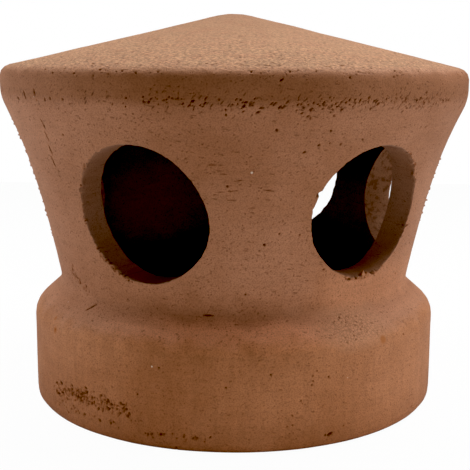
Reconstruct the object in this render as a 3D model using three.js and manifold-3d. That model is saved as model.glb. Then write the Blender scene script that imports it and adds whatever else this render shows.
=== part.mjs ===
// A fired-clay roof vent cap: one hollow turned body with a plain collar, a narrow neck,
// a wall that flares up to a banded rim, a low conical top, and round vents cut by hand through the wall.
// Millimetres, +Z up. The origin is the centre of the underside, on the axis of the turned form.
// Azimuths are in degrees from -Y towards +X, so the front of the cap faces -Y.
import * as THREE from "three";
import { mergeVertices } from "three/addons/utils/BufferGeometryUtils.js";
import Module from "manifold-3d";

// Driving dimensions
const RIM_RADIUS = 95;
const COLLAR_RADIUS = 84;
const NECK_RADIUS = 72.5;
const WALL = 12;
const SHOULDER_TOP = 37.7;
const NECK_HEIGHT = 47.9;
const RIM_BOTTOM = 123.3;
const RIM_TOP = 135;
const ROOF_RISE = 23;
const VENT_RADIUS = 25;
const VENT_HEIGHT = 84;
const VENT_DROOP = 1;
const PLUG_LENGTH = 55;
// The outer face's distance from the axis at the height of the vents.
const VENT_FACE = 80.5;
// Where each vent is cut, and how far the cutter was turned from pointing straight at the axis.
const VENTS = [
  { azimuth: -96, turn: 0 },
  { azimuth: -24.6, turn: 0 },
  { azimuth: 37.8, turn: -12 },
  { azimuth: 97.6, turn: 9 },
  { azimuth: 156, turn: 0 },
];

// Softness of the turned edges: how far each rounding reaches back from its sharp corner.
const FOOT_ROUND = 3.5;
const MOUTH_ROUND = 2;
const SHOULDER_ROUND = 3.8;
const NECK_ROUND = 3.4;
const RIM_ROUND = 4.2;
const CEILING_ROUND = 7;
const TIP_ROUND = 8;

// How steeply the wall flares at the neck and at the rim, as radius gained for each unit of height.
const FLARE_START = 0.2;
const FLARE_END = 0.5;
// The inner wall meets the roof's inner face this far below the rim's top corner.
const CEILING_DROP = 9.5;

// How finely the solid is faceted
const TURN_SEGMENTS = 64;
const EDGE_STEPS = 3;
const FLARE_STEPS = 7;
const VENT_SEGMENTS = 36;

const CLAY_COLOUR = 0x9a6549;

const corner = (radius, height) => new THREE.Vector2(radius, height);

// A point at the given distance from one corner on the way to another.
const towards = (from, to, distance) => from.clone().lerp(to, distance / from.distanceTo(to));

// The points of a rounded corner, a parabola that touches both of its sides.
function soften(before, at, after, reach) {
  const start = towards(at, before, reach);
  const end = towards(at, after, reach);
  return new THREE.QuadraticBezierCurve(start, at, end).getPoints(EDGE_STEPS);
}

// The flaring wall between the neck's corner and the rim's lower corner, without its two ends.
function flare(neck, rim) {
  const hold = (rim.y - neck.y) / 3;
  const low = corner(neck.x + FLARE_START * hold, neck.y + hold);
  const high = corner(rim.x - FLARE_END * hold, rim.y - hold);
  return new THREE.CubicBezierCurve(neck, low, high, rim).getPoints(FLARE_STEPS).slice(1, -1);
}

// One face of the turned wall, from the underside up to the axis. The inner face lies a wall's thickness in.
// The rim's corners are given from below upwards: two outside, and one inside where the wall meets the roof.
function wallFace({ inset, footRound, rim, rimRound, tipHeight }) {
  const foot = corner(COLLAR_RADIUS - inset, 0);
  const underside = corner(COLLAR_RADIUS - WALL / 2, 0);
  const shoulder = corner(COLLAR_RADIUS - inset, SHOULDER_TOP);
  const neck = corner(NECK_RADIUS - inset, NECK_HEIGHT);
  const tip = corner(0, tipHeight);
  const wall = flare(neck, rim[0]);
  const rimWay = [wall.at(-1), ...rim, tip];
  const tipEdge = towards(tip, rim.at(-1), TIP_ROUND);
  const tipSoft = towards(tip, rim.at(-1), TIP_ROUND / 2);
  return [
    ...soften(underside, foot, shoulder, footRound),
    ...soften(foot, shoulder, neck, SHOULDER_ROUND),
    ...soften(shoulder, neck, wall[0], NECK_ROUND),
    ...wall,
    ...rim.flatMap((at, number) => soften(rimWay[number], at, rimWay[number + 2], rimRound)),
    ...new THREE.QuadraticBezierCurve(tipEdge, tipSoft, corner(0, tipSoft.y)).getPoints(EDGE_STEPS),
  ];
}

// The hollow turned body: down the outside from the tip, across the underside and up the inside.
function turnedBody() {
  const outside = wallFace({
    inset: 0,
    footRound: FOOT_ROUND,
    rim: [corner(RIM_RADIUS, RIM_BOTTOM), corner(RIM_RADIUS, RIM_TOP)],
    rimRound: RIM_ROUND,
    tipHeight: RIM_TOP + ROOF_RISE,
  });
  const inside = wallFace({
    inset: WALL,
    footRound: MOUTH_ROUND,
    rim: [corner(RIM_RADIUS - WALL, RIM_TOP - CEILING_DROP)],
    rimRound: CEILING_ROUND,
    tipHeight: RIM_TOP - CEILING_DROP + (ROOF_RISE * (RIM_RADIUS - WALL)) / RIM_RADIUS,
  });
  const outline = [...inside.toReversed(), ...outside];
  return new THREE.LatheGeometry(outline, TURN_SEGMENTS).rotateX(Math.PI / 2);
}

// The plug of clay that a tube cutter takes out of the wall, drooping a little outwards.
function ventPlug({ azimuth, turn }) {
  return new THREE.CylinderGeometry(VENT_RADIUS, VENT_RADIUS, PLUG_LENGTH, VENT_SEGMENTS)
    .rotateX(-THREE.MathUtils.degToRad(VENT_DROOP))
    .rotateZ(THREE.MathUtils.degToRad(turn))
    .translate(0, VENT_FACE, VENT_HEIGHT)
    .rotateZ(Math.PI + THREE.MathUtils.degToRad(azimuth));
}

// Solid modelling: a closed geometry as a solid, and a solid back as a geometry.
const wasm = await Module();
wasm.setup();

function solidFrom(geometry) {
  const bare = geometry.clone();
  bare.deleteAttribute("normal");
  bare.deleteAttribute("uv");
  const merged = mergeVertices(bare, 1e-4);
  return new wasm.Manifold(
    new wasm.Mesh({
      numProp: 3,
      vertProperties: merged.attributes.position.array,
      triVerts: new Uint32Array(merged.index.array),
    }),
  );
}

function geometryFrom(solid) {
  const mesh = solid.getMesh();
  const geometry = new THREE.BufferGeometry();
  geometry.setAttribute("position", new THREE.BufferAttribute(mesh.vertProperties, 3));
  geometry.setIndex(new THREE.BufferAttribute(mesh.triVerts, 1));
  geometry.computeVertexNormals();
  return geometry;
}

function ventedBody() {
  const plugs = VENTS.map((vent) => solidFrom(ventPlug(vent)));
  const vented = plugs.reduce((body, plug) => body.subtract(plug), solidFrom(turnedBody()));
  return geometryFrom(vented);
}

const clay = new THREE.MeshStandardMaterial({ color: CLAY_COLOUR, roughness: 0.95, metalness: 0 });
const body = new THREE.Mesh(ventedBody(), clay);
body.name = "vent_cap";

const ventCap = new THREE.Group();
ventCap.name = "roof_vent_cap";
ventCap.add(body);

export default ventCap;
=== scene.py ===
import math
from collections import namedtuple

import bpy
import numpy as np
from mathutils import Matrix, Vector, noise
from mathutils.kdtree import KDTree


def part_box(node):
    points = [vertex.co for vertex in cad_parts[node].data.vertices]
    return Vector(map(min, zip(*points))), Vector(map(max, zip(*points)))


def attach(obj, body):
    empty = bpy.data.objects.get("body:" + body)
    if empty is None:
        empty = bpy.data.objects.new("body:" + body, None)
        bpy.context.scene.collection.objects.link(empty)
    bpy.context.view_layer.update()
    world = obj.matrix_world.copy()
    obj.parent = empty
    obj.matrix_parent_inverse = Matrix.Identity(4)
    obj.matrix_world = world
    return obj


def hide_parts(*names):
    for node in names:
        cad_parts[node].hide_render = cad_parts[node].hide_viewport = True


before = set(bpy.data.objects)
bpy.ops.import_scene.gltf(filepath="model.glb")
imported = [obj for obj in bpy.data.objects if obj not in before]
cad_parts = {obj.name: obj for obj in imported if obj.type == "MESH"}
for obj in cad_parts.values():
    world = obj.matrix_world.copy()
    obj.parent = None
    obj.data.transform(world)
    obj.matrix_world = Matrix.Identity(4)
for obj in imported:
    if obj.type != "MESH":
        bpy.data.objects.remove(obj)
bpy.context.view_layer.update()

# The turned body
# One hollow wall of coarse red clay, open below, turned against a template so that it is round throughout.
# Its outline is drawn once, from the tip down the outside and back up the inside, and is spun about the axis.
cap_low, cap_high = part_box("vent_cap")
RIM_RADIUS = (cap_high[0] - cap_low[0]) / 2
COLLAR_RADIUS = 0.0840
NECK_RADIUS = 0.0725
WALL = 0.0120
SHOULDER_TOP = 0.0377
NECK_HEIGHT = 0.0479
RIM_BOTTOM = 0.1233
RIM_TOP = 0.1350
CEILING_DROP = 0.0095
ROOF_SLOPE = 0.242
# How steeply the wall flares at the neck and at the rim, as radius gained for each unit of height.
FLARE_START = 0.2
FLARE_END = 0.5
# How far each rounding reaches back from its sharp corner.
FOOT_ROUND = 0.0035
MOUTH_ROUND = 0.0020
SHOULDER_ROUND = 0.0038
NECK_ROUND = 0.0034
RIM_ROUND = 0.0042
CEILING_ROUND = 0.0070
TIP_ROUND = 0.0080
# How finely the curves are drawn, how far apart the outline's points then are, and the steps of the spin.
CORNER_STEPS = 12
FLARE_STEPS = 42
TIP_STEPS = 8
OUTSIDE_STEP = 0.0021
ROOF_STEP = 0.0034
INSIDE_STEP = 0.0065
TURNS = 264
SAME_POINT = 1e-6


def on_way(start, end, distance):
    return start + (end - start) * distance / np.linalg.norm(end - start)


def bow(start, bend, end, steps):
    t = np.linspace(0, 1, steps)[:, None]
    return (1 - t) ** 2 * start + 2 * t * (1 - t) * bend + t**2 * end


def soft_corner(before, corner, after, reach):
    return bow(on_way(corner, before, reach), corner, on_way(corner, after, reach), CORNER_STEPS)


def flare(rim, neck):
    # The wall from the rim's lower corner down to the neck, without its two ends.
    hold = (rim[1] - neck[1]) / 3
    high = rim - hold * np.array([FLARE_END, 1])
    low = neck + hold * np.array([FLARE_START, 1])
    t = np.linspace(0, 1, FLARE_STEPS)[1:-1, None]
    return (1 - t) ** 3 * rim + 3 * t * (1 - t) ** 2 * high + 3 * t**2 * (1 - t) * low + t**3 * neck


def evenly(points, step):
    # The same line, with its points about this far apart.
    points = np.asarray(points)
    along = np.concatenate([[0], np.cumsum(np.linalg.norm(np.diff(points, axis=0), axis=1))])
    stations = np.linspace(0, along[-1], max(2, round(along[-1] / step)))
    return np.column_stack([np.interp(stations, along, points[:, k]) for k in (0, 1)])


def roof_tip(rim):
    return np.array([0, rim[1] + ROOF_SLOPE * rim[0]])


def roof_outline(rim, rim_round):
    tip = roof_tip(rim)
    edge = on_way(tip, rim, TIP_ROUND)
    middle = on_way(tip, rim, TIP_ROUND / 2)
    return [*bow(np.array([0, middle[1]]), middle, edge, TIP_STEPS), on_way(rim, tip, rim_round)]


def wall_outline(inset, rims, rim_round, foot_round):
    # The rim's corners run from the roof down: two outside, and one inside where the wall meets the roof.
    neck = np.array([NECK_RADIUS - inset, NECK_HEIGHT])
    shoulder = np.array([COLLAR_RADIUS - inset, SHOULDER_TOP])
    foot = np.array([COLLAR_RADIUS - inset, 0])
    underside = np.array([COLLAR_RADIUS - WALL / 2, 0])
    wall = flare(rims[-1], neck)
    way = [roof_tip(rims[0]), *rims, wall[0]]
    edges = [soft_corner(*way[number : number + 3], rim_round) for number in range(len(rims))]
    return [
        *np.vstack(edges),
        *[point for point in wall[:-2] if point[1] < edges[-1][-1][1]],
        *soft_corner(wall[-1], neck, shoulder, NECK_ROUND),
        *soft_corner(neck, shoulder, foot, SHOULDER_ROUND),
        *soft_corner(shoulder, foot, underside, foot_round),
    ]


rim_high = np.array([RIM_RADIUS, RIM_TOP])
rim_low = np.array([RIM_RADIUS, RIM_BOTTOM])
eaves = np.array([RIM_RADIUS - WALL, RIM_TOP - CEILING_DROP])
outside = evenly(wall_outline(0, [rim_high, rim_low], RIM_ROUND, FOOT_ROUND), OUTSIDE_STEP)
inside = evenly(wall_outline(WALL, [eaves], CEILING_ROUND, MOUTH_ROUND), INSIDE_STEP)
roof = evenly(roof_outline(rim_high, RIM_ROUND), ROOF_STEP)
ceiling = evenly(roof_outline(eaves, CEILING_ROUND), INSIDE_STEP)
outline = np.vstack([roof[:-1], outside, inside[::-1], ceiling[-2::-1]])

bpy.ops.object.select_all(action="DESELECT")
bpy.ops.mesh.primitive_plane_add(size=WALL)
body = bpy.context.object
body.name = "vent_cap_clay"
bpy.ops.object.mode_set(mode="EDIT")
bpy.ops.mesh.merge(type="CENTER")
bpy.ops.transform.translate(value=(outline[0][0], 0, outline[0][1]))
for step in np.diff(outline, axis=0):
    bpy.ops.mesh.extrude_vertices_move(TRANSFORM_OT_translate={"value": (step[0], 0, step[1])})
bpy.ops.mesh.select_all(action="SELECT")
bpy.ops.mesh.spin(steps=TURNS, angle=2 * math.pi, center=(0, 0, 0), axis=(0, 0, 1))
bpy.ops.mesh.select_all(action="SELECT")
bpy.ops.mesh.remove_doubles(threshold=SAME_POINT)
bpy.ops.mesh.normals_make_consistent(inside=False)
bpy.ops.object.mode_set(mode="OBJECT")

# Pits, drags and crumbs
# Grit in the coarse clay tears out under the template and leaves pits, short slanting drags and scratches.
# They crowd along the lower edge of the rim band, the edge of the roof and the lower left of the collar.
draw = np.random.default_rng(17)
marks = []
SLOPE_STEP = 0.0005
LOWEST_MARK = 0.001


def outer_radius(height):
    # How far the outer face of the wall lies from the axis. Heights run up the outline from the foot.
    return np.interp(height, outside[::-1, 1], outside[::-1, 0])


def turned_place(azimuth, radius, height, outwards, upwards):
    # A point on the turned surface, with the way out of the clay there and the way round.
    turn = math.radians(azimuth)
    away = np.array([outwards * math.sin(turn), -outwards * math.cos(turn), upwards])
    away /= np.linalg.norm(away)
    around = np.array([math.cos(turn), math.sin(turn), 0])
    return np.array([radius * math.sin(turn), -radius * math.cos(turn), height]), away, around


def wall_place(azimuth, height):
    slope = (outer_radius(height + SLOPE_STEP) - outer_radius(height - SLOPE_STEP)) / (2 * SLOPE_STEP)
    return turned_place(azimuth, outer_radius(height), height, 1, -slope)


def roof_place(azimuth, radius):
    height = np.interp(radius, roof[:, 0], roof[:, 1])
    return turned_place(azimuth, radius, height, ROOF_SLOPE, 1)


def mark(place, length, width, depth, lean=0.0):
    # A hollow of this length and width, its long way leaning this many degrees up from level.
    # One of negative depth is a crumb that stands on the surface.
    centre, away, around = place
    up = np.cross(away, around)
    tilt = math.radians(lean)
    along = math.cos(tilt) * around + math.sin(tilt) * up
    marks.append((centre, away, along, length / 2, width / 2, depth))


def pit_size(sizes):
    # A width in this range. Small ones are commoner.
    return sizes[0] + (sizes[1] - sizes[0]) * draw.uniform() ** 2


def scatter(count, azimuths, heights, sizes, stretch=(1.0, 1.6), lean=(0, 180), depth=0.8):
    # Pits spread evenly over a patch of wall. Their lengths and depths are given as shares of their widths.
    for _ in range(count):
        size = pit_size(sizes)
        place = wall_place(draw.uniform(*azimuths), draw.uniform(*heights))
        mark(place, size * draw.uniform(*stretch), size, size * depth, draw.uniform(*lean))


def trail(count, start, end, stray, sizes, stretch=(1.0, 1.6), lean=(0, 180), depth=0.8):
    # Pits strung along a line between two places on the wall, each given as azimuth and height.
    for _ in range(count):
        t = draw.uniform()
        azimuth = start[0] + (end[0] - start[0]) * t + draw.normal(0, math.degrees(stray / COLLAR_RADIUS))
        height = start[1] + (end[1] - start[1]) * t + draw.normal(0, stray)
        size = pit_size(sizes)
        place = wall_place(azimuth, min(max(height, LOWEST_MARK), RIM_TOP))
        mark(place, size * draw.uniform(*stretch), size, size * depth, draw.uniform(*lean))


# The rim band's lower edge has single chips, and trails of pits and slanting drags between them.
RIM_EDGE = RIM_BOTTOM + 0.0010
RIM_CHIPS = [
    (-17, 0.1244), (-11, 0.1258), (-8, 0.1250), (-9, 0.1233), (-5.5, 0.1260), (4, 0.1260), (3.6, 0.1238),
    (5.2, 0.1230), (4.7, 0.1215), (9.5, 0.1230), (9.2, 0.1320), (15.2, 0.1225), (13.5, 0.1212), (15, 0.1202),
]
for azimuth, height in RIM_CHIPS:
    size = draw.uniform(0.0006, 0.0009)
    place = wall_place(azimuth, height)
    mark(place, size * draw.uniform(1.1, 2.6), size, size, draw.uniform(10, 55))
trail(60, (-26, RIM_EDGE + 0.0015), (2, RIM_EDGE), 0.0016, (0.0004, 0.0008), (1.0, 1.8), (20, 110), 1.1)
trail(64, (0, RIM_EDGE), (22, RIM_EDGE - 0.0008), 0.0011, (0.0004, 0.0007), (1.2, 3.0), (15, 60), 1.1)
trail(124, (18, RIM_EDGE), (54, RIM_EDGE + 0.0003), 0.0012, (0.0004, 0.0006), (1.4, 3.4), (40, 65), 1.0)
trail(6, (-60, RIM_EDGE), (-26, RIM_EDGE), 0.0014, (0.0006, 0.0010), (1.0, 2.5), (60, 130))
trail(44, (56, RIM_EDGE), (296, RIM_EDGE), 0.0014, (0.0006, 0.0011), (1.2, 3.2), (20, 70))
# The edge of the roof has pits along it, and patches of drags just above it: azimuth, radius and count.
trail(44, (-46, RIM_TOP - 0.0010), (46, RIM_TOP - 0.0008), 0.0006, (0.0004, 0.0009))
trail(22, (60, RIM_TOP - 0.0010), (310, RIM_TOP - 0.0010), 0.0006, (0.0006, 0.0010))
ROOF_DRAGS = [
    (-34, 0.0890, 8), (-8, 0.0885, 8), (5, 0.0890, 14), (24, 0.0890, 8), (130, 0.0880, 8), (220, 0.0890, 8),
]
DRAG_DEPTH = 0.7
for azimuth, radius, count in ROOF_DRAGS:
    for _ in range(count):
        size = draw.uniform(0.0005, 0.0009)
        place = roof_place(azimuth + draw.normal(0, 4), radius + draw.normal(0, 0.0014))
        mark(place, size * draw.uniform(1.0, 4.0), size, size * DRAG_DEPTH, draw.uniform(-25, 25))
# The wall has a crack down its left, pits low on that side, fine scratches between the two front vents,
# and single pits all round. The crack is a row of marks that drifts round by so many degrees a metre down.
CRACK_AZIMUTH = -48.4
CRACK_TOP = 0.1164
CRACK_DRIFT = 130
CRACK_LENGTH = 0.0052
CRACK_WIDTH = 0.0007
CRACK_LEAN = 98
for height in (0.1150, 0.1105, 0.1055, 0.1010):
    place = wall_place(CRACK_AZIMUTH - (CRACK_TOP - height) * CRACK_DRIFT, height)
    mark(place, CRACK_LENGTH, CRACK_WIDTH, CRACK_WIDTH, CRACK_LEAN)
trail(34, (-58, 0.0575), (-50, 0.0510), 0.0014, (0.0005, 0.0009), (1.2, 3.0), (70, 115))
scatter(10, (-5, 9), (0.087, 0.104), (0.0004, 0.0006), (5.0, 14.0), (-6, 10), 0.7)
scatter(16, (-62, 64), (0.056, 0.120), (0.0007, 0.0011))
scatter(18, (64, 298), (0.056, 0.120), (0.0007, 0.0011))
scatter(10, (10, 50), (0.106, 0.121), (0.0006, 0.0010), (1.0, 2.5), (30, 70))
# The collar has a patch of crowded shallow pits at its lower left, a line of pits down its right, and
# single pits all round and on the ledge above it.
CROWDED_DEPTH = 0.55
SHALLOW_DEPTH = 0.35
trail(84, (-55, 0.0118), (-40, 0.0142), 0.0017, (0.0006, 0.0014), depth=CROWDED_DEPTH)
trail(110, (-46, 0.0146), (-26, 0.0126), 0.0016, (0.0006, 0.0014), depth=CROWDED_DEPTH)
trail(44, (-56, 0.0068), (-28, 0.0066), 0.0008, (0.0005, 0.0012), depth=CROWDED_DEPTH)
trail(36, (-23, 0.0060), (-4, 0.0058), 0.0008, (0.0005, 0.0012), depth=CROWDED_DEPTH)
trail(60, (-55, 0.0122), (-40, 0.0138), 0.0020, (0.0006, 0.0010), (1.0, 2.4), (60, 120), SHALLOW_DEPTH)
trail(80, (-44, 0.0142), (-25, 0.0122), 0.0017, (0.0006, 0.0010), (1.0, 2.4), (60, 120), SHALLOW_DEPTH)
trail(9, (21, 0.0300), (13, 0.0080), 0.0005, (0.0006, 0.0008), (1.0, 2.0), (60, 120))
trail(30, (90, 0.0100), (200, 0.0120), 0.0020, (0.0006, 0.0011))
scatter(12, (-60, 60), (0.004, 0.036), (0.0006, 0.0009))
scatter(14, (60, 300), (0.004, 0.036), (0.0006, 0.0009))
scatter(12, (25, 46), (0.038, 0.046), (0.0006, 0.0009), (1.0, 2.0), (0, 180), 0.6)
# Single larger marks: azimuth, height, length, width, depth, and the lean up from level in degrees.
SINGLE_MARKS = [
    (24.7, 0.0051, 0.0030, 0.0013, 0.0011, 25),
    (23.4, 0.0050, 0.0012, 0.0008, 0.0008, 60),
    (-54.5, 0.0113, 0.0019, 0.0014, 0.0012, 70),
    (-46.5, 0.0150, 0.0018, 0.0015, 0.0012, 40),
    (-54.6, 0.0356, 0.0019, 0.0012, 0.0005, 80),
    (-45.6, 0.0456, 0.0064, 0.0009, 0.0009, 46),
    (-6.9, 0.0482, 0.0048, 0.0009, 0.0008, 0),
    (-14.0, 0.0012, 0.0022, 0.0009, 0.0009, 80),
    (-52.4, 0.1256, 0.0034, 0.0009, 0.0009, 115),
    (-47.8, 0.1264, 0.0030, 0.0009, 0.0009, 100),
    (-56.2, 0.1238, 0.0016, 0.0010, 0.0008, 140),
]
for azimuth, height, length, width, depth, lean in SINGLE_MARKS:
    mark(wall_place(azimuth, height), length, width, depth, lean)

# The vents
# Round holes pushed by hand through the leather-hard wall with a tube cutter, by eye and unevenly spaced.
# Their lips are clean on some sides and torn on others, with crumbs and burrs left standing there.
VENT_HEIGHT = 0.0840
VENT_DROOP = math.radians(1)
VENT_FACE = 0.0805
# Each vent's azimuth, how far its cutter was turned from pointing straight at the axis, its radius, and
# the torn stretches of its lip: the way they lie seen from outside, in degrees up from the right, how far
# they reach to each side, and how badly they are torn.
Vent = namedtuple("Vent", "azimuth turn radius torn")
VENTS = [
    Vent(-96, 0, 0.0250, [(0, 75, 0.8)]),
    Vent(-24.6, 0, 0.0254, [(160, 40, 1.2), (-128, 16, 1.2)]),
    Vent(37.8, -12, 0.0247, [(40, 18, 1.0), (-84, 18, 1.3), (-25, 10, 0.8)]),
    Vent(97.6, 9, 0.0246, [(180, 75, 0.7)]),
    Vent(156, 0, 0.0250, [(60, 50, 0.6), (-100, 35, 0.7)]),
]
LEFT, FRONT_LEFT, FRONT_RIGHT, RIGHT, BACK = VENTS
CLEAN_LIP = 0.16
FLUTTER_CREST = 1.6
LIP_BELT = (0.0001, 0.0012)


def vent_axis(vent):
    # The point where the vent's axis leaves the wall, and three ways from it: out, sideways and up.
    azimuth, turn = math.radians(vent.azimuth), math.radians(vent.azimuth + vent.turn)
    face = np.array([VENT_FACE * math.sin(azimuth), -VENT_FACE * math.cos(azimuth), VENT_HEIGHT])
    level = np.array([math.sin(turn), -math.cos(turn), 0])
    out = level * math.cos(VENT_DROOP) - np.array([0, 0, math.sin(VENT_DROOP)])
    side = np.array([math.cos(turn), math.sin(turn), 0])
    return face, out, side, np.cross(out, side)


def vent_polar(points, vent):
    # Distance from the vent's axis, the angle round it, and the distance along it.
    face, out, side, up = vent_axis(vent)
    offset = points - face
    across, rise = offset @ side, offset @ up
    return np.hypot(across, rise), np.arctan2(rise, across), offset @ out


def beside(vent, distance, along, margin):
    # Whether a place is this close to the tube that cuts the vent, on the side of the cap where it cuts.
    return (abs(distance - vent.radius) < margin) & (along > -VENT_FACE / 2)


def skin_depth(points):
    # How far each point lies inside the outer face of the wall, measured level.
    return outer_radius(points[..., 2]) - np.hypot(points[..., 0], points[..., 1])


def flutter(angle, seed, low, high):
    # A ragged ring between about -1 and 1, made of waves that go from low to high times round the circle.
    # The slow waves are larger.
    waves = np.random.default_rng(seed)
    counts = np.arange(low, high)
    sizes = waves.normal(size=len(counts)) / np.sqrt(counts)
    starts = waves.uniform(0, 2 * math.pi, len(counts))
    total = np.cos(np.multiply.outer(angle, counts) + starts) @ sizes
    return total / np.sqrt((1 / counts).sum() / 2) / FLUTTER_CREST


def tornness(angle, vent):
    # How badly the vent's lip is torn at each angle round it.
    total = np.full_like(angle, CLEAN_LIP)
    for middle, reach, strength in vent.torn:
        turned = np.abs((angle - math.radians(middle) + math.pi) % (2 * math.pi) - math.pi)
        total += strength * np.exp(-((turned / math.radians(reach)) ** 2))
    return total


def lip_crumbs(count, vent, angles, sizes, rises=(0.35, 0.6)):
    # Crumbs pushed up on the wall just outside a torn stretch of the lip. With negative rises they are pits.
    face, out, side, up = vent_axis(vent)
    for _ in range(count):
        turn = math.radians(draw.uniform(*angles))
        reach = vent.radius + draw.uniform(*LIP_BELT)
        spot = face + reach * (math.cos(turn) * side + math.sin(turn) * up)
        spot = spot + out * skin_depth(spot)
        size = draw.uniform(*sizes)
        place = wall_place(math.degrees(math.atan2(spot[0], -spot[1])), spot[2])
        mark(place, size * draw.uniform(1.0, 1.8), size, -size * draw.uniform(*rises), draw.uniform(0, 180))


lip_crumbs(16, FRONT_LEFT, (-144, -108), (0.0006, 0.0012))
lip_crumbs(6, FRONT_LEFT, (130, 205), (0.0005, 0.0009))
lip_crumbs(16, FRONT_RIGHT, (-106, -64), (0.0006, 0.0012))
lip_crumbs(6, FRONT_RIGHT, (20, 56), (0.0006, 0.0010))
lip_crumbs(7, LEFT, (-70, 70), (0.0007, 0.0012))
lip_crumbs(7, RIGHT, (110, 250), (0.0007, 0.0012))
lip_crumbs(8, BACK, (-140, -60), (0.0006, 0.0011))
# Crumbs stand on the wall at its far left and right too, beside the vents there.
CRUMB_RISE = -0.55
trail(30, (-78, 0.1150), (-78, 0.0670), 0.0016, (0.0006, 0.0010), depth=CRUMB_RISE)
trail(12, (78, 0.1000), (78, 0.0760), 0.0016, (0.0007, 0.0012), depth=CRUMB_RISE)
LIP_PITS = (-1.0, -0.6)
lip_crumbs(26, FRONT_LEFT, (-150, -104), (0.0005, 0.0010), LIP_PITS)
lip_crumbs(10, FRONT_LEFT, (135, 200), (0.0005, 0.0009), LIP_PITS)
lip_crumbs(26, FRONT_RIGHT, (-108, -62), (0.0005, 0.0010), LIP_PITS)
lip_crumbs(10, FRONT_RIGHT, (25, 60), (0.0005, 0.0009), LIP_PITS)
# Two larger chips lie at the left and the right of the front right vent.
mark(wall_place(21.4, 0.0925), 0.0044, 0.0020, 0.0020, 22)
mark(wall_place(57.6, 0.0757), 0.0024, 0.0012, 0.0010, 20)
# How ragged the edge of a mark is, on what scale, and how its sides curve down.
MARK_RAGGED = 0.5
MARK_RAGGED_SCALE = 1300
MARK_BOWL = 0.7


def points_of(mesh):
    flat = np.empty(len(mesh.vertices) * 3)
    mesh.vertices.foreach_get("co", flat)
    return flat.reshape(-1, 3)


def set_points(mesh, points):
    mesh.vertices.foreach_set("co", points.ravel())
    mesh.update()


def face_values(mesh, name):
    flat = np.empty(len(mesh.polygons) * 3)
    mesh.polygons.foreach_get(name, flat)
    return flat.reshape(-1, 3)


def tree_of(points):
    tree = KDTree(len(points))
    for index, point in enumerate(points):
        tree.insert(point, index)
    tree.balance()
    return tree


def mark_reach(points):
    # For every mark, the points in it and how deep each one lies, from 0 at its edge to 1 at its middle.
    tree = tree_of(points)
    for centre, away, along, half_length, half_width, depth in marks:
        across = np.cross(away, along)
        near = np.array([index for _, index, _ in tree.find_range(centre, half_length + half_width)], int)
        offset = points[near] - centre
        reach = (offset @ along / half_length) ** 2 + (offset @ across / half_width) ** 2
        roughs = [abs(noise.noise(Vector(points[index]) * MARK_RAGGED_SCALE)) for index in near]
        reach += MARK_RAGGED * np.array(roughs)
        yield near[reach < 1], (1 - reach[reach < 1]) ** MARK_BOWL, away, depth


def near_marks(centres, margin):
    near = np.zeros(len(centres), bool)
    tree = tree_of(centres)
    for centre, away, along, half_length, half_width, _ in marks:
        found = np.array([index for _, index, _ in tree.find_range(centre, half_length + margin)], int)
        offset = centres[found] - centre
        in_length = abs(offset @ along) < half_length + margin
        in_width = abs(offset @ np.cross(away, along)) < half_width + margin
        near[found[in_length & in_width]] = True
    return near


def near_lips(centres, margin):
    near = np.zeros(len(centres), bool)
    outer = skin_depth(centres) < WALL / 3
    for vent in VENTS:
        distance, _, along = vent_polar(centres, vent)
        near |= outer & beside(vent, distance, along, margin)
    return near


def choose_none(kind):
    # The active piece is made ready for points, edges or faces of it to be chosen.
    bpy.ops.object.mode_set(mode="EDIT")
    bpy.ops.mesh.select_mode(type=kind)
    bpy.ops.mesh.select_all(action="DESELECT")
    bpy.ops.object.mode_set(mode="OBJECT")


# The wall is split finely where a mark or a lip lies, so that there is mesh for it to be cut in. Each pass
# keeps closer than the last to the marks and to the lips, and the third is for the marks alone.
SPLIT_MARGINS = [(0.0013, 0.0022), (0.0006, 0.0012), (0.0002, 0)]
for mark_margin, lip_margin in SPLIT_MARGINS:
    centres = face_values(body.data, "center")
    coarse = near_marks(centres, mark_margin) | near_lips(centres, lip_margin)
    choose_none("FACE")
    body.data.polygons.foreach_set("select", coarse)
    bpy.ops.object.mode_set(mode="EDIT")
    bpy.ops.mesh.subdivide(number_cuts=1)
    bpy.ops.object.mode_set(mode="OBJECT")

# The turned face swells a little, the rim stands a little lower on its right, and the marks and burrs go in.
# A swell is given by its height and by its scale, and a burr by its height, the most that it may stand out,
# how far outside the lip it lies, its width, how far from the lip it is looked for, and how rare it is.
SWELLS = [(0.00016, 60), (0.00007, 240)]
ROOF_SWELL_FROM = RIM_TOP + 0.0005
LEAN = 0.0042
LEAN_FROM = 0.100
LEAN_TO = 0.125
BURR_RISE = 0.0010
BURR_LIMIT = 0.0008
BURR_PLACE = 0.0003
BURR_WIDTH = 0.0008
BURR_REACH = 0.003
BURR_RARENESS = 0.45


def lean_drop(places):
    # How much lower each place lies because of the lean, which eases in below the rim.
    rise = np.clip((places[:, 2] - LEAN_FROM) / (LEAN_TO - LEAN_FROM), 0, 1)
    return LEAN * (places[:, 0] + RIM_RADIUS) * rise**2 * (3 - 2 * rise)


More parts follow.
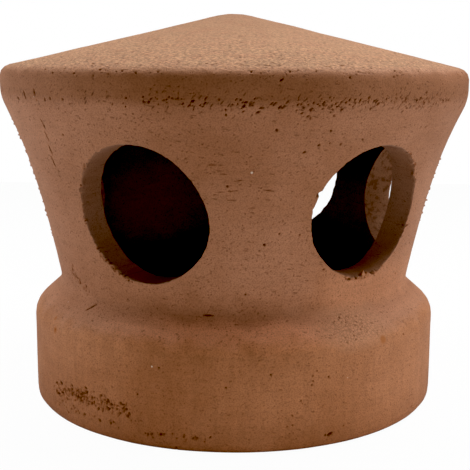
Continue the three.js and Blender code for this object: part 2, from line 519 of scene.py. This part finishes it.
points = points_of(body.data)
moved = points.copy()
outward = points * [1, 1, 0]
outward /= np.maximum(np.linalg.norm(outward, axis=1), SAME_POINT)[:, None]
skin = (skin_depth(points) < WALL / 3) | (points[:, 2] > RIM_TOP)
for index in np.flatnonzero(skin):
    spot = Vector(points[index])
    swell = sum(height * noise.noise(spot * scale) for height, scale in SWELLS)
    direction = np.array([0, 0, 1]) if spot.z > ROOF_SWELL_FROM else outward[index]
    moved[index] += direction * swell
for near, fall, away, depth in mark_reach(points):
    moved[near] -= np.outer(fall, away * depth)
for number, vent in enumerate(VENTS):
    distance, angle, along = vent_polar(points, vent)
    lip = np.flatnonzero(skin & beside(vent, distance, along, BURR_REACH))
    rag = np.clip(flutter(angle[lip], 40 + number, 8, 70) - BURR_RARENESS, 0, 1) * tornness(angle[lip], vent)
    ridge = np.exp(-(((distance[lip] - vent.radius - BURR_PLACE) / BURR_WIDTH) ** 2))
    moved[lip] += outward[lip] * (BURR_RISE * rag * ridge)[:, None]
too_high = np.clip(((moved - points) * outward).sum(axis=1) - BURR_LIMIT, 0, None)
moved -= outward * too_high[:, None]
moved[:, 2] -= lean_drop(points)
set_points(body.data, moved)

# Each vent is cut with a tube whose rings lie at set depths in the wall, closest together at the two lips.
LIP_DEPTHS = np.array([-0.009, -0.003, -0.0008, -0.0003, 0, 0.0003, 0.0006, 0.001, 0.0016, 0.0026, 0.004])
RING_DEPTHS = np.concatenate([LIP_DEPTHS, WALL - LIP_DEPTHS[::-1]])[::-1]
LIP_STEPS = 220
TUBE_LENGTH = 0.050
TUBE_STATIONS = 400
# How deep from each face its lip is torn, how far and how deep the outer lip is rounded, and how far the
# cut wanders, is torn at the outer and at the inner lip, and is dragged all the way through.
OUTER_LIP = 0.0014
INNER_LIP = 0.0016
LIP_ROUND = 0.00035
LIP_ROUND_DEPTH = 0.0008
WANDER = 0.00030
OUTER_TEAR = 0.0010
INNER_TEAR = 0.00014
CUT_DRAG = 0.00006
SMOOTH_ANGLE = math.radians(42)
for number, vent in enumerate(VENTS):
    face, out, side, up = vent_axis(vent)
    bpy.ops.object.select_all(action="DESELECT")
    bpy.ops.mesh.primitive_cylinder_add(
        vertices=LIP_STEPS,
        radius=vent.radius,
        depth=TUBE_LENGTH,
        location=face,
        rotation=Vector(out).to_track_quat("Z", "Y").to_euler(),
    )
    cutter = bpy.context.object
    bpy.ops.object.transform_apply(location=True, rotation=True, scale=True)
    choose_none("EDGE")
    ends = points_of(cutter.data)
    for edge in cutter.data.edges:
        first, second = ends[edge.vertices[0]], ends[edge.vertices[1]]
        edge.select = bool(abs((second - first) @ out) > TUBE_LENGTH / 2)
    bpy.ops.object.mode_set(mode="EDIT")
    bpy.ops.mesh.subdivide(number_cuts=len(RING_DEPTHS) - 2)
    bpy.ops.object.mode_set(mode="OBJECT")
    tube = points_of(cutter.data)
    _, angle, along = vent_polar(tube, vent)
    ring = np.rint((along / TUBE_LENGTH + 0.5) * (len(RING_DEPTHS) - 1)).astype(int)
    ring_depth = RING_DEPTHS[ring]
    in_clay = np.clip(ring_depth, 0, None)
    from_inside = np.clip(WALL - ring_depth, 0, None)
    stations = np.linspace(-TUBE_LENGTH, TUBE_LENGTH, TUBE_STATIONS)
    away = np.multiply.outer(np.cos(angle), side) + np.multiply.outer(np.sin(angle), up)
    for index in range(len(tube)):
        line = face + away[index] * vent.radius + np.multiply.outer(stations, out)
        along[index] = np.interp(-ring_depth[index], -skin_depth(line), stations)
    rounding = LIP_ROUND * np.clip(1 - in_clay / LIP_ROUND_DEPTH, 0, 1) ** 2
    wander = WANDER * flutter(angle, 60 + number, 2, 6)
    ragged = flutter(angle, 70 + number, 9, 75)
    tear = OUTER_TEAR * np.exp(-((in_clay / OUTER_LIP) ** 2)) * tornness(angle, vent) * ragged * abs(ragged)
    inner_tear = INNER_TEAR * np.exp(-((from_inside / INNER_LIP) ** 2)) * flutter(angle, 80 + number, 8, 50)
    drag = CUT_DRAG * flutter(angle, 90 + number, 30, 90)
    width = vent.radius + rounding + wander + tear + inner_tear + drag
    set_points(cutter.data, face + away * width[:, None] + np.multiply.outer(along, out))
    cut = body.modifiers.new("vent", "BOOLEAN")
    cut.operation = "DIFFERENCE"
    cut.solver = "MANIFOLD"
    cut.object = cutter
    bpy.ops.object.select_all(action="DESELECT")
    bpy.context.view_layer.objects.active = body
    body.select_set(True)
    bpy.ops.object.modifier_apply(modifier=cut.name)
    bpy.data.objects.remove(cutter)
# A point where only two edges meet is taken out, so that no two faces fold together there.
choose_none("VERT")
edge_ends = np.empty(len(body.data.edges) * 2, np.int32)
body.data.edges.foreach_get("vertices", edge_ends)
edges_met = np.bincount(edge_ends, minlength=len(body.data.vertices))
body.data.vertices.foreach_set("select", edges_met == 2)
bpy.ops.object.mode_set(mode="EDIT")
bpy.ops.mesh.dissolve_verts()
bpy.ops.object.mode_set(mode="OBJECT")
bpy.ops.object.shade_smooth_by_angle(angle=SMOOTH_ANGLE)

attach(body, "root")
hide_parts("vent_cap")

# The fired clay
# Coarse terracotta, fired unglazed: dull orange brown, clouded and grainy, with pinholes and single grains.
# The roof is sandy, paler and mottled, the cut walls of the vents are browner, and the hollow is painted
# darker as painted shade.
PIT_FULL = 0.0008
CUT_MARGIN = 0.0016
CUT_FACING = 0.75


def carry(name, domain, values):
    # The mesh keeps these values for the clay: how deep in a pit it is, and what is cut wall and what hollow.
    attribute = body.data.attributes.new(name, "FLOAT", domain)
    attribute.data.foreach_set("value", values.astype(float))


points = points_of(body.data)
points[:, 2] += lean_drop(points)
pit = np.zeros(len(points))
for near, fall, away, depth in mark_reach(points):
    if depth > 0:
        pit[near] = np.maximum(pit[near], fall * min(1, depth / PIT_FULL))
centres = face_values(body.data, "center")
normals = face_values(body.data, "normal")
roof_heights = np.interp(np.hypot(centres[:, 0], centres[:, 1]), roof[:, 0], roof[:, 1])
roof_face = centres[:, 2] > roof_heights - WALL / 2
hollow = (skin_depth(centres) > WALL / 2) & ~roof_face
cut_face = np.zeros(len(centres), bool)
for vent in VENTS:
    _, _, side, up = vent_axis(vent)
    distance, angle, along = vent_polar(centres, vent)
    inward = -(np.outer(np.cos(angle), side) + np.outer(np.sin(angle), up))
    facing = (normals * inward).sum(axis=1)
    cut_face |= beside(vent, distance, along, CUT_MARGIN) & (facing > CUT_FACING)
carry("pit", "POINT", pit)
carry("vent_wall", "FACE", cut_face)
carry("chamber", "FACE", hollow & ~cut_face)

clay = bpy.data.materials.new("terracotta")
clay.use_nodes = True
nodes = clay.node_tree.nodes
links = clay.node_tree.links
shader = nodes["Principled BSDF"]
shader.inputs["Roughness"].default_value = 0.8
shader.inputs["Specular IOR Level"].default_value = 0.5
where = nodes.new("ShaderNodeTexCoord").outputs["Object"]


def fill(socket, value):
    if isinstance(value, bpy.types.NodeSocket):
        links.new(value, socket)
    else:
        socket.default_value = value


def cloud(scale, detail, place=where):
    field = nodes.new("ShaderNodeTexNoise")
    fill(field.inputs["Vector"], place)
    fill(field.inputs["Scale"], scale)
    fill(field.inputs["Detail"], detail)
    return field.outputs["Fac"]


def stretched(scale):
    mapping = nodes.new("ShaderNodeMapping")
    fill(mapping.inputs["Vector"], where)
    fill(mapping.inputs["Scale"], scale)
    return mapping.outputs["Vector"]


def spread(value, low, high, start=0.0, end=1.0):
    # The value drawn out so that low becomes start and high becomes end, and held at those.
    span = nodes.new("ShaderNodeMapRange")
    fill(span.inputs["Value"], value)
    fill(span.inputs["From Min"], low)
    fill(span.inputs["From Max"], high)
    fill(span.inputs["To Min"], start)
    fill(span.inputs["To Max"], end)
    return span.outputs["Result"]


def worked(operation, first, second):
    sums = nodes.new("ShaderNodeMath")
    sums.operation = operation
    fill(sums.inputs[0], first)
    fill(sums.inputs[1], second)
    return sums.outputs["Value"]


def times(first, second):
    return worked("MULTIPLY", first, second)


def tinted(amount, colour, other, kind="MIX"):
    mix = nodes.new("ShaderNodeMix")
    mix.data_type = "RGBA"
    mix.blend_type = kind
    fill(mix.inputs["Factor"], amount)
    fill(mix.inputs[6], colour)
    fill(mix.inputs[7], other)
    return mix.outputs[2]


DOT_CORE = 0.6


def dotted(scale, size, share, place=where):
    # Round dots on this many places to the metre, of this radius, on this share of the places.
    cells = nodes.new("ShaderNodeTexVoronoi")
    fill(cells.inputs["Vector"], place)
    fill(cells.inputs["Scale"], scale)
    kept = nodes.new("ShaderNodeSeparateColor")
    fill(kept.inputs["Color"], cells.outputs["Color"])
    dot = spread(cells.outputs["Distance"], size * scale, size * scale * DOT_CORE)
    chosen = worked("LESS_THAN", kept.outputs["Red"], share)
    return times(dot, chosen)


def carried(name):
    attribute = nodes.new("ShaderNodeAttribute")
    attribute.attribute_name = name
    return attribute.outputs["Fac"]


DEEP_CLAY = (0.408, 0.179, 0.092, 1)
WARM_CLAY = (0.518, 0.244, 0.138, 1)
PALE_ROOF = (0.488, 0.262, 0.141, 1)
PATCH = (0.66, 0.330, 0.188, 1)
PALE_GRAIN = (0.75, 0.62, 0.50, 1)
PAINTED_PIT_SHADE = (0.13, 0.045, 0.016, 1)
VENT_WALL_SHADE = (0.84, 0.97, 1.12, 1)
FAR_CUT_SHADE = (0.80, 0.74, 0.66, 1)
PAINTED_CHAMBER_SHADE = (0.45, 0.56, 0.62, 1)
COLLAR_FLUSH = (1.00, 0.925, 0.79, 1)
PAINTED_BAND_SHADE = (0.80, 0.745, 0.66, 1)
PAINTED_LEDGE_LIGHT = (1.08, 1.12, 1.16, 1)
PAINTED_FRONT_LEDGE_LIGHT = (1.38, 1.30, 1.28, 1)
PAINTED_CREASE_SHADE = (0.77, 0.73, 0.69, 1)
PAINTED_FOOT_SHADOW = (0.86, 0.84, 0.82, 1)
PAINTED_NECK_LIGHT = (1.22, 1.20, 1.16, 1)
ROOF_TIP_SHADE = (0.80, 0.79, 0.78, 1)
RUST = (0.46, 0.17, 0.06, 1)
# How strongly each kind of spot takes its colour; the pores, cracks and grit take the dark of painted shade
# in them. Pinholes and flecks have one value on the wall and one on the collar.
PATCH_STRENGTH = 0.8
CRAZING_STRENGTH = 0.36
PINHOLE_STRENGTH = (0.46, 0.32)
FLECK_STRENGTH = (0.36, 0.22)
STROKE_STRENGTH = 0.72
GRIT_STRENGTH = 0.60
EDGE_GRIT_STRENGTH = 0.62
PALE_GRAIN_STRENGTH = 0.8
PIT_STRENGTH = 0.86
TORN_SPOT_STRENGTH = 0.6
# Where a shade starts and where it is full, as heights or as places across the cap and from front to back.
# For the crease, where it falls off again follows.
FOOT_SHADOW_HEIGHTS = (0.016, 0.002)
TIP_HEIGHTS = (0.141, 0.155)
SAND_HEIGHTS = (0.153, 0.139)
GRIT_HEIGHTS = (0.152, 0.139)
FRONT_LEDGE_LIGHT_Y = (-0.060, -0.076)
CREASE_X = (-0.060, -0.030, 0.010, 0.045)
NECK_LIGHT_X = (0.024, 0.036)
NECK_LIGHT_Y = (0.010, -0.020)
FAR_CUT_Y = (-0.015, 0.005)
# Single grains that show: azimuth, height, size and colour.
SPECKS = [
    (4.0, 0.1007, 0.0005, PALE_GRAIN),
    (-20.0, 0.0310, 0.0004, PALE_GRAIN),
    (-54.6, 0.0356, 0.0018, RUST),
    (-57.0, 0.0392, 0.0011, RUST),
    (41.5, 0.0365, 0.0020, RUST),
]

clouding = cloud(22, 4)
mottling = cloud(150, 3)
grain = cloud(2000, 2)
turning = cloud(1, 2, stretched((40, 40, 700)))
dragging = cloud(1, 2, stretched((380, 380, 45)))
tone = worked("ADD", times(clouding, 0.75), times(mottling, 0.25))
colour = tinted(spread(tone, 0.36, 0.64), DEEP_CLAY, WARM_CLAY)

axes = nodes.new("ShaderNodeSeparateXYZ")
fill(axes.inputs["Vector"], where)
place_x, place_y, place_z = axes.outputs
# The height with a little waver, so that no shade ends on a ruled line.
WAVER = 0.0012
level = worked("ADD", place_z, spread(mottling, 0.3, 0.7, -WAVER, WAVER))


def between(value, start, full, last, end):
    # Rises from start to full, and falls again from last to end.
    return times(spread(value, start, full), spread(value, end, last))


collar = spread(level, SHOULDER_TOP + 0.004, SHOULDER_TOP)
band = between(level, RIM_BOTTOM - 0.001, RIM_BOTTOM + 0.002, RIM_TOP - 0.002, RIM_TOP)
ledge = between(level, SHOULDER_TOP - 0.002, SHOULDER_TOP + 0.004, NECK_HEIGHT - 0.004, NECK_HEIGHT)
crease = between(level, NECK_HEIGHT - 0.005, NECK_HEIGHT - 0.001, NECK_HEIGHT + 0.001, NECK_HEIGHT + 0.009)
colour = tinted(collar, colour, COLLAR_FLUSH, "MULTIPLY")
# The rim band is painted darker all round, as painted shade.
colour = tinted(band, colour, PAINTED_BAND_SHADE, "MULTIPLY")
# The ledge is painted lighter, as painted light from above, and more so at the front.
colour = tinted(ledge, colour, PAINTED_LEDGE_LIGHT, "MULTIPLY")
front_ledge_light = times(ledge, spread(place_y, *FRONT_LEDGE_LIGHT_Y))
colour = tinted(front_ledge_light, colour, PAINTED_FRONT_LEDGE_LIGHT, "MULTIPLY")
# The crease at the neck is painted darker, as painted shade, in a strip across the middle of the cap.
front_crease_shade = times(crease, between(place_x, *CREASE_X))
colour = tinted(front_crease_shade, colour, PAINTED_CREASE_SHADE, "MULTIPLY")
# The neck is painted lighter on its right front, as painted light.
neck = between(level, NECK_HEIGHT - 0.002, NECK_HEIGHT + 0.001, NECK_HEIGHT + 0.010, NECK_HEIGHT + 0.020)
right_front = times(spread(place_x, *NECK_LIGHT_X), spread(place_y, *NECK_LIGHT_Y))
colour = tinted(times(neck, right_front), colour, PAINTED_NECK_LIGHT, "MULTIPLY")
# The foot is painted darker towards the floor, as a painted shadow.
colour = tinted(spread(level, *FOOT_SHADOW_HEIGHTS), colour, PAINTED_FOOT_SHADOW, "MULTIPLY")
on_roof = spread(place_z, RIM_TOP - 0.0015, RIM_TOP + 0.0010)
# The roof is paler, in a mottled way.
colour = tinted(times(on_roof, spread(mottling, 0.30, 0.60, 0.55, 1.0)), colour, PALE_ROOF)
near_tip = times(on_roof, spread(place_z, *TIP_HEIGHTS))
colour = tinted(near_tip, colour, ROOF_TIP_SHADE, "MULTIPLY")
sand = times(spread(cloud(850, 2), 0.36, 0.64, -1.0, 1.0), on_roof)
sand = times(sand, spread(place_z, *SAND_HEIGHTS, 0.25, 1.0))
colour = tinted(1.0, colour, spread(sand, -1.0, 1.0, 0.72, 1.30), "MULTIPLY")
colour = tinted(1.0, colour, spread(grain, 0.28, 0.56, 0.72, 1.06), "MULTIPLY")
colour = tinted(1.0, colour, spread(turning, 0.35, 0.65, 0.97, 1.03), "MULTIPLY")
colour = tinted(collar, colour, spread(dragging, 0.35, 0.65, 0.95, 1.05), "MULTIPLY")


def away_from(place, squash=1):
    # Distance from a place, with heights counted this many times over.
    apart = nodes.new("ShaderNodeVectorMath")
    apart.operation = "DISTANCE"
    fill(apart.inputs[0], stretched((1, 1, squash)))
    fill(apart.inputs[1], (place[0], place[1], place[2] * squash))
    return apart.outputs["Value"]


# A pale patch on the right of the ledge, crazed with fine cracks that are painted dark as painted shade.
PATCH_PLACE = (0.0444, -0.0658, 0.0420)
PATCH_SQUASH = 2.2
PATCH_RAGGED = 0.012
PATCH_EDGES = (0.026, 0.014)
CRACKS_PER_METRE = 820
patch_reach = worked("ADD", away_from(PATCH_PLACE, PATCH_SQUASH), times(mottling, PATCH_RAGGED))
patch = spread(patch_reach, *PATCH_EDGES)
cracks = nodes.new("ShaderNodeTexVoronoi")
cracks.feature = "DISTANCE_TO_EDGE"
fill(cracks.inputs["Vector"], where)
fill(cracks.inputs["Scale"], CRACKS_PER_METRE)
crazing = times(spread(cracks.outputs["Distance"], 0.12, 0.03), patch)
colour = tinted(times(patch, PATCH_STRENGTH), colour, PATCH)
colour = tinted(times(crazing, CRAZING_STRENGTH), colour, PAINTED_PIT_SHADE)

# Fine pores: round pinholes, flecks dragged by the template, slanting strokes on the rim band's lower edge,
# and grit on the roof and along its edge, all painted dark as painted shade in them.
way_round = times(worked("ARCTAN2", place_x, times(place_y, -1.0)), RIM_RADIUS)
wall_sheet = nodes.new("ShaderNodeCombineXYZ")
fill(wall_sheet.inputs["X"], way_round)
fill(wall_sheet.inputs["Y"], place_z)


def slanted(lean, length, width):
    # The wall laid out flat, in cells of this length and width that lean this many degrees up from level.
    cells = nodes.new("ShaderNodeMapping")
    cells.vector_type = "TEXTURE"
    fill(cells.inputs["Vector"], wall_sheet.outputs["Vector"])
    fill(cells.inputs["Rotation"], (0, 0, math.radians(lean)))
    fill(cells.inputs["Scale"], (length, width, 1))
    return cells.outputs["Vector"]


pinholes = worked("MAXIMUM", dotted(360, 0.00046, 0.28), dotted(760, 0.00032, 0.36))
short_flecks = dotted(1, 0.26, 0.30, slanted(24, 0.0024, 0.0011))
long_flecks = dotted(1, 0.24, 0.22, slanted(-8, 0.0050, 0.0013))
off_roof = spread(on_roof, 0.0, 1.0, 1.0, 0.0)
flecks = times(worked("MAXIMUM", short_flecks, long_flecks), off_roof)
rim_line = between(level, RIM_EDGE - 0.0036, RIM_EDGE - 0.0016, RIM_EDGE + 0.0024, RIM_EDGE + 0.0050)
strokes = times(dotted(1, 0.30, 0.45, slanted(52, 0.0034, 0.0011)), rim_line)
grit_share = times(on_roof, spread(place_z, *GRIT_HEIGHTS, 0.35, 1.0))
grit = times(dotted(520, 0.00060, 0.40), grit_share)
roof_edge = between(place_z, RIM_TOP - 0.0012, RIM_TOP + 0.0002, RIM_TOP + 0.0026, RIM_TOP + 0.0060)
edge_grit = times(dotted(640, 0.00056, 0.50), roof_edge)
colour = tinted(times(pinholes, spread(collar, 0.0, 1.0, *PINHOLE_STRENGTH)), colour, PAINTED_PIT_SHADE)
colour = tinted(times(flecks, spread(collar, 0.0, 1.0, *FLECK_STRENGTH)), colour, PAINTED_PIT_SHADE)
colour = tinted(times(strokes, STROKE_STRENGTH), colour, PAINTED_PIT_SHADE)
colour = tinted(times(grit, GRIT_STRENGTH), colour, PAINTED_PIT_SHADE)
colour = tinted(times(edge_grit, EDGE_GRIT_STRENGTH), colour, PAINTED_PIT_SHADE)
hollows = worked("MAXIMUM", worked("MAXIMUM", pinholes, flecks), worked("MAXIMUM", strokes, grit))
hollows = worked("MAXIMUM", hollows, edge_grit)
colour = tinted(times(dotted(170, 0.00028, 0.03), PALE_GRAIN_STRENGTH), colour, PALE_GRAIN)
# The pits cut in the mesh are painted dark, as painted shade in them.
colour = tinted(spread(carried("pit"), 0.05, 0.70, 0.0, PIT_STRENGTH), colour, PAINTED_PIT_SHADE)
for azimuth, height, size, shade in SPECKS:
    place = wall_place(azimuth, height)[0]
    colour = tinted(spread(away_from(place), size, size / 2), colour, shade)
# The walls of the vents, those at the back torn and darker, and the hollow, which is painted darker as
# painted shade.
colour = tinted(carried("vent_wall"), colour, VENT_WALL_SHADE, "MULTIPLY")
far_cut = times(carried("vent_wall"), spread(place_y, *FAR_CUT_Y))
colour = tinted(far_cut, colour, FAR_CUT_SHADE, "MULTIPLY")
# Spots on the vent walls at the back are painted dark, as painted shade in small tears.
torn_spots = times(far_cut, spread(cloud(420, 2), 0.50, 0.62, 0.0, TORN_SPOT_STRENGTH))
colour = tinted(torn_spots, colour, PAINTED_PIT_SHADE)
# The hollow is painted darker and greyer, as painted shade.
colour = tinted(carried("chamber"), colour, PAINTED_CHAMBER_SHADE, "MULTIPLY")
fill(shader.inputs["Base Color"], colour)

# The finest relief: grain and sand stand up, pores and cracks go in.
GRAIN_RELIEF = 0.6
TURNING_RELIEF = 0.5
PORE_RELIEF = 0.8
CRAZING_RELIEF = 0.6
SAND_RELIEF = 0.8
BUMP_STRENGTH = 0.6
BUMP_HEIGHT = 0.0003
relief = worked("ADD", times(grain, GRAIN_RELIEF), times(turning, TURNING_RELIEF))
relief = worked("SUBTRACT", relief, times(hollows, PORE_RELIEF))
relief = worked("SUBTRACT", relief, times(crazing, CRAZING_RELIEF))
relief = worked("ADD", relief, times(sand, SAND_RELIEF))
bump = nodes.new("ShaderNodeBump")
fill(bump.inputs["Height"], relief)
bump.inputs["Strength"].default_value = BUMP_STRENGTH
bump.inputs["Distance"].default_value = BUMP_HEIGHT
fill(shader.inputs["Normal"], bump.outputs["Normal"])
body.data.materials.clear()
body.data.materials.append(clay)

# Floor, light and camera
# A plain pale table under two broad soft lights from above, with a weak soft light at each side and in front.
# The table throws much of the light that reaches the front, so the rim band is the darkest face there; the
# band is also painted darker.
TABLE_PLACE = (0, 0.225, 0)
TABLE_SIZE = (1.4, 0.95, 1)
TABLE_COLOUR = (0.86, 0.86, 0.86, 1)
TABLE_LIFT = 0.97
bpy.ops.object.select_all(action="DESELECT")
bpy.ops.mesh.primitive_plane_add(size=1, location=TABLE_PLACE)
floor = bpy.context.object
floor.name = "floor"
floor.scale = TABLE_SIZE
table = bpy.data.materials.new("pale_table")
table.use_nodes = True
table_nodes = table.node_tree.nodes
table_links = table.node_tree.links
table_shader = table_nodes["Principled BSDF"]
table_shader.inputs["Base Color"].default_value = TABLE_COLOUR
table_shader.inputs["Roughness"].default_value = 0.9
# The table looks almost white from where it is seen, and to all other light it is a plain pale surface.
glow = table_nodes.new("ShaderNodeEmission")
lifted = table_nodes.new("ShaderNodeMixShader")
ray = table_nodes.new("ShaderNodeLightPath")
lift = table_nodes.new("ShaderNodeMath")
lift.operation = "MULTIPLY"
lift.inputs[1].default_value = TABLE_LIFT
table_links.new(ray.outputs["Is Camera Ray"], lift.inputs[0])
table_links.new(lift.outputs["Value"], lifted.inputs["Fac"])
table_links.new(table_shader.outputs["BSDF"], lifted.inputs[1])
table_links.new(glow.outputs["Emission"], lifted.inputs[2])
table_links.new(lifted.outputs["Shader"], table_nodes["Material Output"].inputs["Surface"])
floor.data.materials.append(table)


def softbox(name, place, aim, width, depth, watts):
    bpy.ops.object.select_all(action="DESELECT")
    bpy.ops.object.light_add(type="AREA", location=place)
    box = bpy.context.object
    box.name = name
    box.rotation_euler = (Vector(aim) - Vector(place)).to_track_quat("-Z", "Y").to_euler()
    box.data.shape = "RECTANGLE"
    box.data.size = width
    box.data.size_y = depth
    box.data.energy = watts


softbox("right_top_light", (0.30, 0.09, 0.60), (0.30, 0.09, 0), 0.40, 0.45, 3.55)
softbox("left_top_light", (-0.30, 0.15, 0.60), (-0.30, 0.15, 0), 0.40, 0.40, 2.35)
softbox("right_light", (0.55, -0.10, 0.17), (0, -0.03, 0.10), 0.30, 0.30, 0.64)
softbox("left_light", (-0.55, 0.05, 0.17), (0, 0.01, 0.10), 0.30, 0.30, 0.80)
softbox("front_light", (0, -0.80, 0.15), (0, 0, 0.08), 0.40, 0.30, 1.38)

# The backdrop is white where it is seen, and gives the cap next to no light.
WHITE = (1, 1, 1, 1)
AIR_LIGHT = 0.01
world = bpy.data.worlds.new("studio")
bpy.context.scene.world = world
world.use_nodes = True
world_nodes = world.node_tree.nodes
world_links = world.node_tree.links
air = world_nodes["Background"]
air.inputs["Color"].default_value = WHITE
air.inputs["Strength"].default_value = AIR_LIGHT
backdrop = world_nodes.new("ShaderNodeBackground")
backdrop.inputs["Color"].default_value = WHITE
seen = world_nodes.new("ShaderNodeLightPath")
either = world_nodes.new("ShaderNodeMixShader")
world_links.new(seen.outputs["Is Camera Ray"], either.inputs["Fac"])
world_links.new(air.outputs["Background"], either.inputs[1])
world_links.new(backdrop.outputs["Background"], either.inputs[2])
world_links.new(either.outputs["Shader"], world_nodes["World Output"].inputs["Surface"])
BLACK_LEVEL = 0.025
view = bpy.context.scene.view_settings
view.view_transform = "Standard"
view.use_curve_mapping = True
view.curve_mapping.black_level = (BLACK_LEVEL, BLACK_LEVEL, BLACK_LEVEL)
view.curve_mapping.update()

# The camera looks a little down on the cap, and is turned a little about its own axis.
CAMERA_PLACE = (0.00046, -0.40249, 0.13643)
CAMERA_PITCH = math.radians(90 - 10.17)
CAMERA_ROLL = 0.0046
LENS = 73.06
SENSOR_WIDTH = 36
bpy.ops.object.camera_add(location=CAMERA_PLACE)
camera = bpy.context.object
tip_down = Matrix.Rotation(CAMERA_PITCH, 3, "X")
camera.rotation_euler = (tip_down @ Matrix.Rotation(CAMERA_ROLL, 3, "Z")).to_euler()
camera.data.sensor_width = SENSOR_WIDTH
camera.data.lens = LENS
camera.data.clip_start = 0.01
bpy.context.scene.camera = camera
